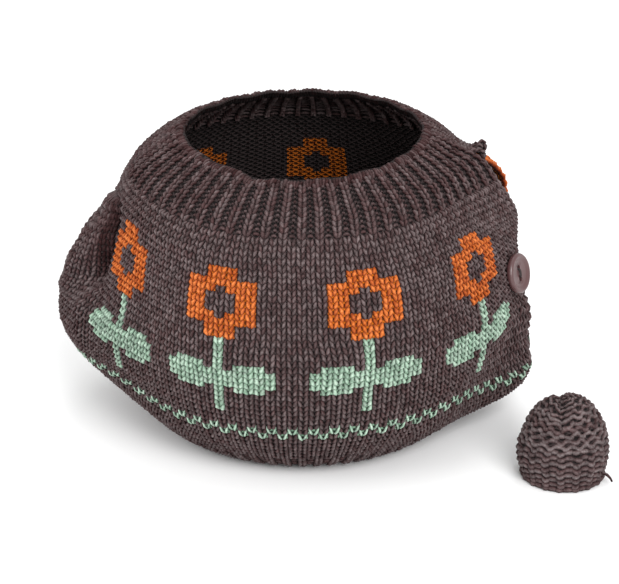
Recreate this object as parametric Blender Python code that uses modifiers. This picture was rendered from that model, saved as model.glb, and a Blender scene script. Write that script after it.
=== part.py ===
"""A knitted tea cosy for a small round teapot, its button, and the little cap for the lid's knob.

The cosy stands on its ribbed hem in the shape that the pot gives it, and is empty inside.
+Z is up, the front is -Y, the spout side is -X and the handle side, with the button, is +X.
The cap has been taken off its knob and stands on the table by the front of the handle side.
"""

import math

import bmesh
import bpy
from mathutils import Matrix, Vector, noise

MM = 0.001

# The cosy's axis. The origin is the middle of the base of the box round the cosy and its cap.
AXIS = Vector((-8.4 * MM, -0.2 * MM, 0.0))

# The knitting. A front and a back panel of 63 wales each are joined at the spout and the handle.
PANEL_WALES = 63
CLOTH = 2.6 * MM
WALL_ROWS = 20
FOOT_ROWS = 2
RIB_RAISE = 0.5 * MM
COLLAR_RIB = (2.5 * MM, 22.0 * MM)
HEM_RIB_DEPTH = 13.0 * MM
UNEVEN = 0.45 * MM

# Half of the section, along the middle of the cloth: (place, radius, height), in mm.
SECTION = (
    ("collar edge", 35.9, 93.2),
    ("collar", 43.3, 89.0),
    ("shoulder", 49.6, 84.2),
    ("below the shoulder", 54.1, 77.6),
    ("flower tops", 57.9, 67.6),
    ("flower hearts", 62.0, 57.0),
    ("widest", 64.9, 44.5),
    ("leaves", 62.9, 32.2),
    ("stem feet", 58.6, 20.4),
    ("zigzag", 55.4, 14.2),
    ("above the hem", 49.4, 7.3),
    ("hem turn", 44.4, 3.2),
    ("hem foot", 40.4, 1.3),
    ("hem edge", 35.4, 1.3),
)
COLLAR_DIP = 4.7 * MM
DIP_FROM = 56.0 * MM

# What the spout and the handle do to the cloth: how far out it reaches at each height (in mm),
# how wide the bulge is (in degrees to either side), and how square its edges are.
SPOUT_BULGE = (
    # height, reach, spread, squareness
    (0, 1, 18, 2),
    (8, 2, 19, 2),
    (16, 6.5, 21, 2),
    (24, 11.5, 23, 2),
    (32, 12.8, 23, 2),
    (40, 10.3, 21, 2),
    (48, 10.2, 17.5, 3),
    (56, 10.2, 18, 6),
    (63, 7.6, 18, 6),
    (67, 5, 16.5, 6),
    (70, 2.8, 15, 6),
    (73, 1.6, 13.5, 5),
    (76, 0, 13, 4),
    (79, 0, 13, 4),
    (96, 0, 13, 4),
)
# The back panel's lip lies this much further in (height, mm), fading to either side (degrees).
BACK_SPOUT_REACH = (
    (0, 0), (45, 0), (48, 0.3), (52, 1), (56, 3), (60, 4.8), (64, 4.6), (68, 3.8), (72, 1.5), (75, 0), (82, 0),
    (86, 1.1), (90, 1.1), (94, 0.3), (96, 0),
)
BACK_SPOUT_SPREAD = 18
# The front's valley beside the spout's lip: its wale from the spout, half width in wales, depth, heights.
CREASE_WALE = 4.8
CREASE_WIDTH = 1.7
CREASE_DEPTH = 1.9 * MM
CREASE_FROM, CREASE_TO = 44 * MM, 71 * MM
HANDLE_BULGE = (
    # height, reach, spread, squareness
    (0, 1, 18, 2),
    (8, 10, 18, 2),
    (12, 13.4, 18, 2),
    (16, 13.3, 18, 2),
    (24, 10.5, 18, 2),
    (34, 5, 16, 2),
    (42, 0.5, 15, 2),
    (50, -0.3, 15, 2),
    (58, 0.6, 15, 2),
    (66, 4, 17, 2),
    (76, 7.2, 19, 2),
    (80, 6.5, 16, 2),
    (84, 4.8, 12, 2),
    (87, 7.0, 5.5, 2),
    (90, 1.5, 5, 2),
    (92, 0, 12, 2),
    (96, 0, 12, 2),
)

# How far each panel's edge stops short of the middle of the spout or the handle: (height, gap)
# in mm. Below zero the edge runs on under or over the other panel's.
SPOUT_GAP = ((0, 0), (38, 0), (41, 0), (45, 7), (52, 11.5), (60, 12), (66, 8.5), (70, 5), (73, 0), (78, 0), (96, 0))
FRONT_HANDLE_GAP = (
    (0, 0), (14, 0), (17, 0), (22, 4.5), (28, 6), (34, 4), (40, -1), (60, -1), (67, 2), (74, 6.5), (80, 6.5), (86, 0),
    (88, 0), (96, 0),
)
BACK_HANDLE_GAP = (
    (0, 0), (14, 0), (17, 0), (22, 4.5), (28, 6), (34, 4), (40, -6), (60, -6), (67, 0), (74, 5), (80, 5), (86, 0),
    (88, 0), (96, 0),
)
GAP_EASE = 5
LAP_ZONE = ((0, 0), (28, 0), (30, 0), (36, 1), (42, 1), (64, 1), (70, 1), (77, 0), (84, 0), (96, 0))
LAP_WIDTH = 0.075
FRONT_LIFT = 2.0 * MM
BACK_TUCK = 2.0 * MM

# The button, sewn to the front panel's edge in the handle's loop.
BUTTON_RADIUS = 6.2 * MM
BUTTON_THICKNESS = 2.4 * MM
BUTTON_RIM = 1.3 * MM
BUTTON_DISH = 0.7 * MM
BUTTON_HOLE = 0.85 * MM
BUTTON_HOLE_SPACING = 3.4 * MM
BUTTON_ACROSS = 0.943
BUTTON_HEIGHT = 51.4 * MM
BUTTON_TURN = math.radians(-9)
SEAT = 0.3 * MM

# The knob's cap: its section along the middle of the cloth, (place, radius, height), in mm.
CAP_PLACE = Vector((79.7 * MM, -41.2 * MM, 0.0))
CAP_CLOTH = 2.6 * MM
CAP_WALES = 26
CAP_COURSES = 15
CAP_SECTION = (
    ("edge", 11.5, 0.0),
    ("edge course", 11.5, 1.4),
    ("above the edge", 11.5, 2.6),
    ("lower side", 12.0, 5.4),
    ("widest", 12.5, 9.5),
    ("upper side", 11.6, 15.5),
    ("turn", 9.6, 20.2),
    ("top", 5.6, 23.4),
    ("gathering", 1.6, 24.4),
)
CAP_RIDGE = 0.35 * MM


def smooth_step(x):
    x = min(max(x, 0.0), 1.0)
    return x * x * (3 - 2 * x)


def read_off(table, x):
    """The smooth curve through the table's (x, y) rows, held level outside it."""
    if x <= table[0][0]:
        return table[0][1]
    if x >= table[-1][0]:
        return table[-1][1]
    i = next(k for k in range(len(table) - 1) if x <= table[k + 1][0])
    (x0, y0), (x1, y1) = table[i], table[i + 1]
    before = table[i - 1] if i > 0 else table[i]
    after = table[i + 2] if i + 2 < len(table) else table[i + 1]
    step = x1 - x0
    slope0 = (y1 - before[1]) / (x1 - before[0]) * step
    slope1 = (after[1] - y0) / (after[0] - x0) * step
    t = (x - x0) / step
    return (
        y0 * (1 + 2 * t) * (1 - t) ** 2
        + slope0 * t * (1 - t) ** 2
        + y1 * t * t * (3 - 2 * t)
        + slope1 * t * t * (t - 1)
    )


def along_section(section):
    """Radius and height of a section as two tables over the length of cloth from its start."""
    radii, heights, length = [], [], 0.0
    for k, (_, radius, height) in enumerate(section):
        if k:
            length += math.hypot(radius - section[k - 1][1], height - section[k - 1][2]) * MM
        radii.append((length, radius * MM))
        heights.append((length, height * MM))
    return radii, heights, length


RADII, HEIGHTS, CLOTH_LENGTH = along_section(SECTION)
FOOT_START = RADII[-2][0]


def half_gap(table, height):
    """The panels are joined wherever the gap between their edges closes."""
    gap = read_off(table, height / MM)
    return gap * MM if abs(gap) > 0.3 else 0.0


def bulge(table, height, angle):
    reach, spread, squareness = (
        read_off([(row[0], row[column]) for row in table], height / MM) for column in (1, 2, 3)
    )
    return reach * MM * math.exp(-((abs(math.degrees(angle)) / spread) ** squareness))


def cloth_point(front, across, down):
    """The middle of the cloth. Across runs 0 to 1 from the spout on the front panel and from
    the handle on the back panel; down is the length of cloth from the collar's edge."""
    radius, height = read_off(RADII, down), read_off(HEIGHTS, down)
    height = max(height, CLOTH / 2)
    to_handle = across if front else 1 - across
    spout_gap = half_gap(SPOUT_GAP, height)
    handle_gap = half_gap(FRONT_HANDLE_GAP if front else BACK_HANDLE_GAP, height)
    turn = math.pi * to_handle
    turn += spout_gap / radius * (1 - to_handle) ** GAP_EASE
    turn -= handle_gap / radius * to_handle ** GAP_EASE
    angle = math.pi + turn if front else math.pi - turn
    from_handle = math.pi - turn

    standing = smooth_step(height / (6 * MM) - 0.3)
    radius += standing * bulge(SPOUT_BULGE, height, turn)
    if front:
        crease = math.exp(-(((PANEL_WALES * to_handle - CREASE_WALE) / CREASE_WIDTH) ** 2))
        crease *= smooth_step((height - CREASE_FROM) / (10 * MM)) * smooth_step((CREASE_TO - height) / (6 * MM))
        radius -= CREASE_DEPTH * crease
    else:
        further_in = read_off(BACK_SPOUT_REACH, height / MM) * MM
        radius -= further_in * math.exp(-((math.degrees(turn) / BACK_SPOUT_SPREAD) ** 2))
    radius += standing * bulge(HANDLE_BULGE, height, from_handle)
    lap = read_off(LAP_ZONE, height / MM) * smooth_step((to_handle - 1 + LAP_WIDTH) / LAP_WIDTH)
    radius += lap * (FRONT_LIFT if front else -BACK_TUCK)
    bumps = noise.noise(Vector((3 * math.cos(angle), 3 * math.sin(angle), height / (18 * MM))))
    radius += standing * UNEVEN * bumps

    if front:
        dip = smooth_step((height - DIP_FROM) / (93 * MM - DIP_FROM))
        height -= COLLAR_DIP * math.sin(angle) ** 2 * dip
    return Vector((radius * math.cos(angle), radius * math.sin(angle), height))


def cloth_normal(front, across, down):
    """Points out of the cosy."""
    step = 0.004
    sideways = cloth_point(front, min(across + step, 1), down) - cloth_point(front, across - step, down)
    upwards = cloth_point(front, across, down - 1 * MM) - cloth_point(front, across, down + 1 * MM)
    return sideways.cross(upwards).normalized()


def rib_raise(wale, down):
    """Ribs at the collar and the hem: every other wale stands up, and the rest lies back."""
    start, end = COLLAR_RIB
    collar = smooth_step((down - start) / (1.5 * MM)) * smooth_step((end - down) / (4 * MM))
    above_foot = FOOT_START - down
    hem = smooth_step(above_foot / (4 * MM)) * smooth_step((HEM_RIB_DEPTH - above_foot) / (4 * MM))
    return RIB_RAISE * max(collar, hem) * (1 if wale % 2 else -1)


def row_depth(row):
    """How far down the cloth a row of points lies; the last rows make the flat foot."""
    if row <= WALL_ROWS:
        return FOOT_START * row / WALL_ROWS
    return FOOT_START + (CLOTH_LENGTH - FOOT_START) * (row - WALL_ROWS) / FOOT_ROWS


def add_panel(mesh, front):
    """A flat grid, one column of faces for each wale, laid round its half of the pot."""
    rows = WALL_ROWS + FOOT_ROWS
    grid = bmesh.ops.create_grid(mesh, x_segments=PANEL_WALES, y_segments=rows, size=0.5)["verts"]
    for vert in grid:
        wale = round((vert.co.x + 0.5) * PANEL_WALES)
        row = round((0.5 - vert.co.y) * rows)
        across, down = wale / PANEL_WALES, row_depth(row)
        point = cloth_point(front, across, down)
        raised = rib_raise(wale + (PANEL_WALES if front else 0), down)
        if raised:
            normal = cloth_normal(front, min(max(across, 0.01), 0.99), down)
            if wale in (0, PANEL_WALES):
                normal.y = 0.0
            point += normal * raised
        vert.co = point


def new_object(name, mesh, material, collection, smooth_angle=None):
    data = bpy.data.meshes.new(name)
    mesh.to_mesh(data)
    mesh.free()
    data.shade_smooth()
    if smooth_angle:
        data.set_sharp_from_angle(angle=smooth_angle)
    data.materials.append(material)
    made = bpy.data.objects.new(name, data)
    collection.objects.link(made)
    return made


def add_cloth_thickness(made, thickness):
    solid = made.modifiers.new("cloth", "SOLIDIFY")
    solid.thickness = thickness
    solid.offset = 0.0


def make_material(name, colour, roughness):
    material = bpy.data.materials.new(name)
    material.use_nodes = True
    shader = material.node_tree.nodes["Principled BSDF"]
    shader.inputs["Base Color"].default_value = (*colour, 1.0)
    shader.inputs["Roughness"].default_value = roughness
    shader.inputs["Metallic"].default_value = 0.0
    return material


def make_cosy(material, collection):
    """Both panels, joined where their edges meet: above and below the spout, and at the foot."""
    mesh = bmesh.new()
    add_panel(mesh, front=True)
    add_panel(mesh, front=False)
    bmesh.ops.remove_doubles(mesh, verts=mesh.verts[:], dist=0.00002)
    bmesh.ops.recalc_face_normals(mesh, faces=mesh.faces[:])
    body = new_object("cosy_body", mesh, material, collection)
    body.location = AXIS
    add_cloth_thickness(body, CLOTH)


def button_seat():
    """The button's frame: its middle on the cloth's outer face, and its normal."""
    down = next(d * 0.1 * MM for d in range(2000) if read_off(HEIGHTS, d * 0.1 * MM) < BUTTON_HEIGHT)
    middle = cloth_point(True, BUTTON_ACROSS, down)
    normal = Matrix.Rotation(BUTTON_TURN, 3, "Z") @ cloth_normal(True, BUTTON_ACROSS, down)
    half_turn = BUTTON_RADIUS / (math.pi * 70 * MM)
    highest = 0.0
    for i in range(-4, 5):
        for j in range(-4, 5):
            across = min(BUTTON_ACROSS + half_turn * i / 4, 1)
            near = cloth_point(True, across, down + BUTTON_RADIUS * j / 4) - middle
            highest = max(highest, near.dot(normal))
    seat = middle + normal * (highest + CLOTH / 2 + SEAT)
    return seat, normal


def cut(made, cutter, cutters):
    cutters.objects.link(cutter)
    cutter.hide_render = True
    cutter.display_type = "WIRE"
    hole = made.modifiers.new(cutter.name, "BOOLEAN")
    hole.object = cutter
    hole.operation = "DIFFERENCE"


def make_button(material, collection, cutters):
    """A turned disc with a raised rim round a shallow dish, and two holes."""
    outline = (
        (0.0, 0.0),
        (BUTTON_RADIUS * 0.86, 0.0),
        (BUTTON_RADIUS, BUTTON_THICKNESS * 0.45),
        (BUTTON_RADIUS * 0.985, BUTTON_THICKNESS * 0.8),
        (BUTTON_RADIUS - BUTTON_RIM * 0.5, BUTTON_THICKNESS),
        (BUTTON_RADIUS - BUTTON_RIM, BUTTON_THICKNESS * 0.95),
        (BUTTON_RADIUS - BUTTON_RIM * 1.5, BUTTON_THICKNESS - BUTTON_DISH),
        (0.0, BUTTON_THICKNESS - BUTTON_DISH),
    )
    mesh = bmesh.new()
    verts = [mesh.verts.new((radius, 0.0, height)) for radius, height in outline]
    edges = [mesh.edges.new(pair) for pair in zip(verts, verts[1:])]
    bmesh.ops.spin(
        mesh, geom=verts + edges, cent=(0, 0, 0), axis=(0, 0, 1), angle=2 * math.pi, steps=36, use_merge=True
    )
    bmesh.ops.remove_doubles(mesh, verts=mesh.verts[:], dist=0.00001)
    bmesh.ops.recalc_face_normals(mesh, faces=mesh.faces[:])
    button = new_object("button", mesh, material, collection, math.radians(40))

    seat, normal = button_seat()
    up = (Vector((0, 0, 1)) - normal * normal.z).normalized()
    frame = Matrix((up.cross(normal), up, normal)).transposed().to_4x4()
    frame.translation = seat + AXIS
    button.matrix_world = frame
    for side in (-1, 1):
        drill = bmesh.new()
        bmesh.ops.create_cone(
            drill, cap_ends=True, segments=14, radius1=BUTTON_HOLE, radius2=BUTTON_HOLE, depth=4 * BUTTON_THICKNESS
        )
        data = bpy.data.meshes.new(f"button_hole_{side + 1}")
        drill.to_mesh(data)
        drill.free()
        cutter = bpy.data.objects.new(data.name, data)
        turned = Matrix.Rotation(math.radians(5), 4, "Z")
        cutter.matrix_world = frame @ Matrix.Translation((0, side * BUTTON_HOLE_SPACING / 2, 0)) @ turned
        cut(button, cutter, cutters)


def make_cap(material, collection):
    """A dome of purl ridges, drawn in at the top, open below and standing on its edge."""
    radii, heights, length = along_section(CAP_SECTION)
    rows = 2 * CAP_COURSES
    depths = [length * k / rows for k in range(rows + 1)]
    mesh = bmesh.new()
    verts = [mesh.verts.new((read_off(radii, d), 0.0, read_off(heights, d))) for d in depths]
    edges = [mesh.edges.new(pair) for pair in zip(verts, verts[1:])]
    bmesh.ops.spin(
        mesh, geom=verts + edges, cent=(0, 0, 0), axis=(0, 0, 1), angle=2 * math.pi, steps=CAP_WALES, use_merge=True
    )
    bmesh.ops.remove_doubles(mesh, verts=mesh.verts[:], dist=0.00001)
    rim = [edge for edge in mesh.edges if edge.is_boundary and edge.verts[0].co.z > 20 * MM]
    bmesh.ops.holes_fill(mesh, edges=rim)
    bmesh.ops.recalc_face_normals(mesh, faces=mesh.faces[:])
    shape_ridges(mesh, depths, heights)
    cap = new_object("knob_cap", mesh, material, collection)
    cap.location = CAP_PLACE + AXIS
    add_cloth_thickness(cap, CAP_CLOTH)


def shape_ridges(mesh, depths, heights):
    """Raises every other ring of points as a purl ridge, waves it, and sinks the gathered top."""
    mesh.normal_update()
    rings = {round(read_off(heights, d) / (0.01 * MM)): k for k, d in enumerate(depths)}
    moves = []
    for vert in mesh.verts:
        k = rings[min(rings, key=lambda z: abs(z - vert.co.z / (0.01 * MM)))]
        angle = math.atan2(vert.co.y, vert.co.x)
        if 2 < k < len(depths) - 1:
            wave = 0.75 + 0.25 * math.cos(CAP_WALES / 2 * angle)
            moves.append((vert, vert.normal * CAP_RIDGE * wave * (1 if k % 2 else -1)))
        if k >= len(depths) - 4:
            moves.append((vert, Vector((0, 0, -1.1 * MM * math.cos(angle + 0.6) ** 2))))
    for vert, move in moves:
        vert.co += move


def main():
    for old in list(bpy.data.objects):
        bpy.data.objects.remove(old, do_unlink=True)
    parts = bpy.data.collections.new("tea cosy")
    cutters = bpy.data.collections.new("cutters")
    for collection in (parts, cutters):
        bpy.context.scene.collection.children.link(collection)

    wool = make_material("charcoal wool", (0.085, 0.068, 0.066), 0.9)
    resin = make_material("button resin", (0.17, 0.115, 0.12), 0.45)
    make_cosy(wool, parts)
    make_button(resin, parts, cutters)
    make_cap(wool, parts)


main()
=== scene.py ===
import math

import bmesh
import bpy
import numpy as np
from mathutils import Matrix, Vector


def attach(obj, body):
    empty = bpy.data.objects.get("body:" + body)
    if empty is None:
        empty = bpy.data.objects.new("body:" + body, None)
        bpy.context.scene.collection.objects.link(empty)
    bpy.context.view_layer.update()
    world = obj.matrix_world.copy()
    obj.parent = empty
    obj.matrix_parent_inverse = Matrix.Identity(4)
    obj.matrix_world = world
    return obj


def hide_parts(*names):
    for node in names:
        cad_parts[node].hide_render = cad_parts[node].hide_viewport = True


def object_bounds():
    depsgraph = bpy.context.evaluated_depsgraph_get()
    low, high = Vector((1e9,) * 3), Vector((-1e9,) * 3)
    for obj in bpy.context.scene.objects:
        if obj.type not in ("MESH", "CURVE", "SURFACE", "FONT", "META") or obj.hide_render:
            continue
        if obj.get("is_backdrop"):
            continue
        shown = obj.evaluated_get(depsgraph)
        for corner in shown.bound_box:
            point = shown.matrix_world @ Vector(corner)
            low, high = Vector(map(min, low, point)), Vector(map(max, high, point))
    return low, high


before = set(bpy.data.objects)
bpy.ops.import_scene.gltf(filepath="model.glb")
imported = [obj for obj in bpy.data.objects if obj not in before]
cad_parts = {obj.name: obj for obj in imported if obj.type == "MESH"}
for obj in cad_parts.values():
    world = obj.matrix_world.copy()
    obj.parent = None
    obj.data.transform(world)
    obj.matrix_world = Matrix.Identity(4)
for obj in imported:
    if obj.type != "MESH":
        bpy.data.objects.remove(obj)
solid_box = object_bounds()


# The camera looks down on the front from a little to the handle's side. It aims at the cosy's
# own axis, which stands 8.4 mm to the spout side of the origin.
AXIS = np.array([-0.0084, -0.0002, 0.0])
AIM_HEIGHT = 0.045
CAMERA_TURN = math.radians(3.5)
CAMERA_RISE = 0.39268
CAMERA_DISTANCE = 0.6929

aim = Vector(AXIS) + Vector((0, 0, AIM_HEIGHT))
back = Vector((
    math.sin(CAMERA_TURN) * math.cos(CAMERA_RISE),
    -math.cos(CAMERA_TURN) * math.cos(CAMERA_RISE),
    math.sin(CAMERA_RISE),
))
lens = bpy.data.cameras.new("camera")
lens.sensor_width = 36
lens.lens = 130.0
lens.shift_x, lens.shift_y = 0.0087, -0.0267
lens.clip_start = 0.01
camera = bpy.data.objects.new("camera", lens)
camera.location = aim + back * CAMERA_DISTANCE
camera.rotation_euler = (-back).to_track_quat("-Z", "Y").to_euler()
bpy.context.collection.objects.link(camera)
bpy.context.scene.camera = camera


# A pale table top under soft studio light: a wide sheet of light above and in front, a weaker
# one to the handle side, and white all round.
TABLE_HALF = 3.0
TABLE_DROP = 0.0002  # so that the yarn under the hem doesn't flicker with the table
table = bpy.data.meshes.new("table_top")
corners = [(x * TABLE_HALF, y * TABLE_HALF, 0) for x, y in ((-1, -1), (1, -1), (1, 1), (-1, 1))]
table.from_pydata(corners, [], [(0, 1, 2, 3)])
table_top = bpy.data.objects.new("table_top", table)
table_top.location.z = -TABLE_DROP
bpy.context.collection.objects.link(table_top)
paper = bpy.data.materials.new("white_paper")
paper.use_nodes = True
shader = paper.node_tree.nodes["Principled BSDF"]
shader.inputs["Base Color"].default_value = (0.9, 0.9, 0.9, 1)
shader.inputs["Roughness"].default_value = 0.9
table.materials.append(paper)
table_top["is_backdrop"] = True

for name, place, size, watts in (
    ("window_light", (0.5, -1.1, 0.9), 0.8, 19),
    ("side_light", (-1.1, -0.6, 0.8), 0.8, 6),
    ("top_light", (0.1, 0.4, 1.5), 0.9, 5),
):
    lamp = bpy.data.lights.new(name, "AREA")
    lamp.size, lamp.energy = size, watts
    light = bpy.data.objects.new(name, lamp)
    light.location = place
    light.rotation_euler = (aim - Vector(place)).to_track_quat("-Z", "Y").to_euler()
    bpy.context.collection.objects.link(light)
world = bpy.data.worlds.new("studio")
world.use_nodes = True
world.node_tree.nodes["Background"].inputs["Color"].default_value = (1, 1, 1, 1)
world.node_tree.nodes["Background"].inputs["Strength"].default_value = 0.9
bpy.context.scene.world = world
bpy.context.scene.view_settings.view_transform = "Standard"


# The cloth: two panels of charcoal wool, sewn to each other at the spout and the handle. Each is
# 63 wales wide, with three narrow wales more in the spout's lip. The pot has stretched it into a
# round belly, over a foot that turns in under it.
PANEL = 63
LIP_WALES = 3
WALES = {True: np.arange(-LIP_WALES, PANEL), False: np.arange(PANEL + LIP_WALES)}  # True is the front
EDGES = {True: (-LIP_WALES, PANEL), False: (0, PANEL + LIP_WALES)}
FOOT_HEIGHT = 1.3
SECTION = np.array((
    # radius, height of the middle of the cloth, in mm, from the collar's edge to the hem's
    (35.9, 93.2), (43.3, 89.0), (49.6, 84.2), (54.1, 77.6), (57.9, 67.6), (62.0, 57.0), (64.9, 44.5),
    (62.9, 32.2), (58.6, 20.4), (55.4, 14.2), (49.4, 7.3), (44.4, 3.2), (40.4, FOOT_HEIGHT),
    (35.4, FOOT_HEIGHT),
))


def smooth_step(x):
    """0 below 0, 1 above 1 and a soft step between."""
    x = np.clip(x, 0, 1)
    return x * x * (3 - 2 * x)


def between(x, start, end, rise, fall):
    """1 from start to end and 0 outside, with a soft rise and fall inside the two ends."""
    return smooth_step((x - start) / rise) * smooth_step((end - x) / fall)


def hump(*offsets):
    """1 at the middle of a soft hump and 0 well away from it; offsets are in half widths."""
    return np.exp(-sum(offset ** 2 for offset in offsets))


def through(table, column=1):
    """A smooth curve through a table's rows, held level outside them."""
    table = np.array(table, float)
    x, y = table[:, 0], table[:, column]
    slope = np.empty_like(y)
    slope[1:-1] = (y[2:] - y[:-2]) / (x[2:] - x[:-2])
    slope[0] = (y[1] - y[0]) / (x[1] - x[0])
    slope[-1] = (y[-1] - y[-2]) / (x[-1] - x[-2])

    def read(at):
        at = np.clip(at, x[0], x[-1])
        i = np.clip(np.searchsorted(x, at) - 1, 0, len(x) - 2)
        step = x[i + 1] - x[i]
        t = (at - x[i]) / step
        return (
            y[i] * (1 + 2 * t) * (1 - t) ** 2
            + slope[i] * step * t * (1 - t) ** 2
            + y[i + 1] * t * t * (3 - 2 * t)
            + slope[i + 1] * step * t * t * (t - 1)
        )

    return read


section_length = np.concatenate(([0], np.cumsum(np.hypot(*np.diff(SECTION, axis=0).T))))
radius_at = through(np.column_stack((section_length, SECTION[:, 0])))
height_at = through(np.column_stack((section_length, SECTION[:, 1])))


# The rows of a panel, from its cast-off edge down. The collar and the hem are 1x1 rib, in which
# every other wale stands up and draws narrow, and the smooth knitting between carries the pattern.
COLLAR_ROWS = 11
ROWS = (
    # what is knitted, rows, length of cloth in mm
    ("bind-off", 1, 2.5), ("collar", COLLAR_ROWS, 19.2), ("plain", 5, 10.6), ("flower", 11, 20.3),
    ("stem", 13, 26.0), ("plain", 3, 6.1), ("zigzag", 2, 4.4), ("plain", 6, 11.9), ("hem", 9, 17.2),
)
RIB_HEIGHT = 0.55
HEM_RIB_SHARE = 0.4
RIB_SPREAD = 0.22  # wales by which a knit rib draws together
SEAM_WALES = 1.2
names, counts, lengths = zip(*ROWS)
tops = np.cumsum([0, *lengths])
row_starts = [
    top + length * np.arange(count) / count for top, count, length in zip(tops, counts, lengths)
]
row_starts = np.concatenate([*row_starts, tops[-1:]])
row_starts *= section_length[-1] / row_starts[-1]
ROW_COUNT = len(row_starts) - 1
first_row = dict(zip(names[::-1], np.cumsum([0, *counts])[-2::-1]))
COLLAR_END = first_row["collar"] + COLLAR_ROWS


def rib_depth(row):
    """1 in the ribbed collar, less in the hem, and 0 in the smooth knitting between."""
    collar = between(row, 0.6, COLLAR_END + 1, 1.2, 2.8)
    hem = between(row, first_row["hem"] - 0.2, ROW_COUNT, 1.6, 3)
    return np.maximum(collar, HEM_RIB_SHARE * hem)


# The pattern, knitted in with orange and mint yarn that runs along behind the charcoal: a flower on
# a stem with two leaves every 14 wales, and a zigzag of single stitches below. The yarn behind
# draws each flower together a little.
CHARCOAL, ORANGE, MINT = 0, 1, 2
REPEAT = 14
FLOWER = (
    "..OOO..", "..OOO..", "OOOOOOO", "OOO.OOO", "OO...OO", "OO...OO", "OO...OO", "OOO.OOO", "OOOOOOO",
    "..OOO..", "..OOO..",
)
STEM_ROWS = 13
LEAF_REACH = {4: (2, 3, 4), 5: (1, 2, 3, 4, 5), 6: (1, 2, 3, 4, 5), 7: (1, 2, 3, 4, 5), 8: (2, 3, 4)}
FLOWER_CENTRES = {True: range(10, PANEL - 10, REPEAT), False: range(3, PANEL, REPEAT)}
FLOWER_ZONE = (14, 31)
FLOWER_SPREAD = 0.17


def colour_at(front, wale, row):
    """The yarn that a stitch is knitted in."""
    flower_row = row - first_row["flower"]
    stem_row = row - first_row["stem"]
    zigzag_row = row - first_row["zigzag"]
    for centre in FLOWER_CENTRES[front]:
        off = wale - centre
        if 0 <= flower_row < len(FLOWER) and abs(off) <= 3 and FLOWER[flower_row][off + 3] == "O":
            return ORANGE
        if 0 <= stem_row < STEM_ROWS and (off == 0 or abs(off) in LEAF_REACH.get(stem_row, ())):
            return MINT
    if 0 <= zigzag_row < 2 and (wale + zigzag_row + front) % 2 == 0:
        return MINT
    return CHARCOAL


# The spout's side. The belly of the cloth reaches out along the spout, and the edge of its opening
# stands up as a lip with a valley beside it. Above and below the opening the panels are sewn.
SPOUT_BULGE = np.array((
    # height, reach in mm, spread in degrees, squareness
    (0, 1, 18, 2), (8, 2, 19, 2), (16, 6.5, 21, 2), (24, 11.5, 23, 2), (32, 12.8, 23, 2), (40, 10.3, 21, 2),
    (48, 10.2, 17.5, 3), (56, 10.2, 18, 6), (63, 7.6, 18, 6), (66, 5.4, 16.5, 6), (69.4, 2.8, 15, 6),
    (71.1, 3.0, 13.5, 6), (71.9, 0.2, 13, 5), (75, 0, 13, 4), (79, 0, 13, 4), (96, 0, 13, 4),
))
BACK_SPOUT_REACH = (
    # height, and how much less than the front the back panel reaches out
    (0, 0), (45, 0), (48, 0.3), (52, 1), (56, 3), (60, 4.8), (64, 4.6), (68, 3.8), (72, 1.5), (75, 0),
    (82, 0), (86, 1.1), (90, 1.1), (94, 0.3), (96, 0),
)
BACK_SPOUT_SPREAD = 18
SPOUT_GAP = (
    # height, half the width of the opening
    (0, 0), (38, 0), (41, 0), (45, 7), (52, 11.5), (60, 12), (66, 8.5), (70, 5), (73, 0), (78, 0), (96, 0),
)
LIP_END = 7
LIP_PLACES = (
    # a stitch of the lip, and where it falls between the cloth's even wales
    (-3, 0), (-2, 0.88), (-1, 1.65), (0, 2.3), (1, 2.81), (2, 3.25), (3, 3.73), (4, 4.45), (5, 5.3),
    (6, 6.12), (LIP_END, 7),
)
CREASE = (44, 76)  # the heights between which the valley lies
CREASE_WALE, CREASE_WIDTH, CREASE_DEPTH = 4.7, 1.4, 4.6
BACK_CREASE_SHARE = 0.1
GAP_FADE = 5  # how soon the openings' pull on the wales dies away
SHUT = 0.3  # an opening narrower than this, in mm, is a seam
spout_bulge = [through(SPOUT_BULGE, k) for k in (1, 2, 3)]
back_reach_at = through(BACK_SPOUT_REACH)
spout_gap_at = through(SPOUT_GAP)
lip_place_at = through(LIP_PLACES)


def half_gap(gap_at, height):
    """Half the width of an opening, in mm, with the seams above and below it left shut."""
    gap = gap_at(height)
    return np.where(np.abs(gap) > SHUT, gap, 0)


def above_foot(height):
    """0 in the foot, where the cloth turns in, and 1 above it."""
    return smooth_step(height / 6 - 0.3)


def bulge(curves, height, angle):
    """How far the pot pushes the cloth out, in mm; there is none where the cloth turns in."""
    reach, spread, squareness = (curve(height) for curve in curves)
    aside = np.abs(np.degrees(angle)) / spread
    return above_foot(height) * (reach * np.exp(-(aside ** squareness)))


def beside_spout(front, radius, height, turn, to_handle):
    """The cloth's radius with the spout's bulge, lip and valley."""
    radius = radius + bulge(spout_bulge, height, turn)
    if not front:
        radius = radius - back_reach_at(height) * hump(np.degrees(turn) / BACK_SPOUT_SPREAD)
    crease = hump((PANEL * to_handle - CREASE_WALE) / CREASE_WIDTH) * between(height, *CREASE, 10, 6)
    return radius - CREASE_DEPTH * crease * (1 if front else BACK_CREASE_SHARE)


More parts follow.
